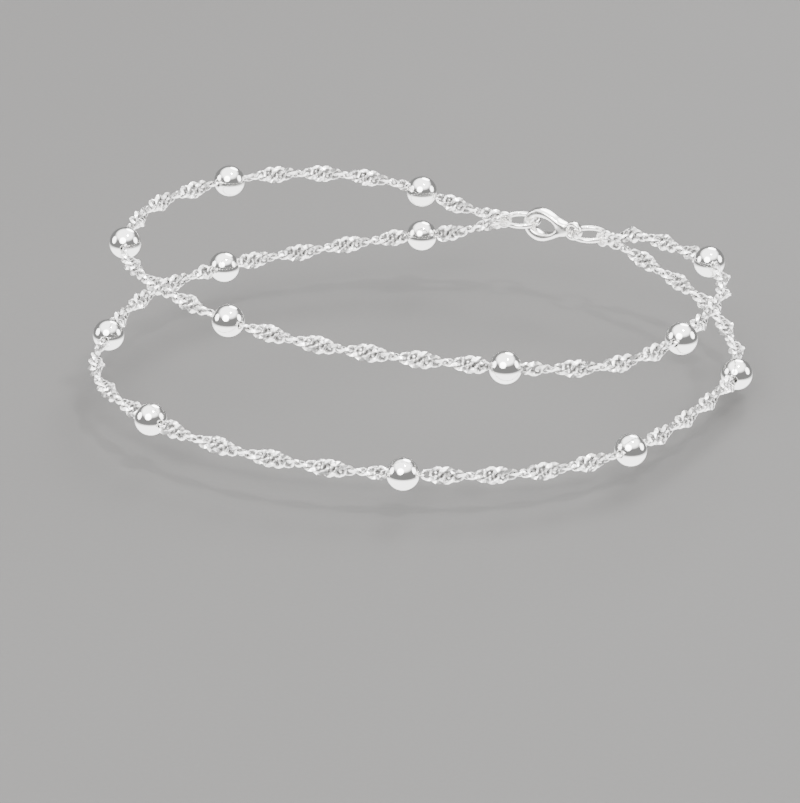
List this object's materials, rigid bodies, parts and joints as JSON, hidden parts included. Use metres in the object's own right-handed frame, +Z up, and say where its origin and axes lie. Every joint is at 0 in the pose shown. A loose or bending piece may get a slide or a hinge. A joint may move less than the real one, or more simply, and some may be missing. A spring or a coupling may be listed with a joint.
{
  "type": "two-strand chain anklet",
  "caption": "Anklet of two twisted flat chains on one clasp, each with polished round beads spaced along it, held in its worn oval form.",
  "frame": {"origin": "on the axis of the opening, level between the two strands, where the anklet goes round the ankle", "axes": "+Z up the leg, -Y towards the front of the worn anklet, +X to the right seen from the front"},
  "size_m": [0.0907, 0.0812, 0.0225],
  "materials": {
    "chain": "diamond-cut silver",
    "bead": "mirror-polished silver",
    "finding": "polished silver"
  },
  "bodies": {
    "root": {"chain_upper": "chain", "chain_lower": "chain", "bead_upper_1": "bead", "bead_upper_2": "bead", "bead_upper_3": "bead", "bead_upper_4": "bead", "bead_upper_5": "bead", "bead_upper_6": "bead", "bead_upper_7": "bead", "bead_lower_1": "bead", "bead_lower_2": "bead", "bead_lower_3": "bead", "bead_lower_4": "bead", "bead_lower_5": "bead", "bead_lower_6": "bead", "bead_lower_7": "bead", "jump_ring_left": "finding", "jump_ring_right": "finding", "clasp": "finding"}
  },
  "joints": []
}
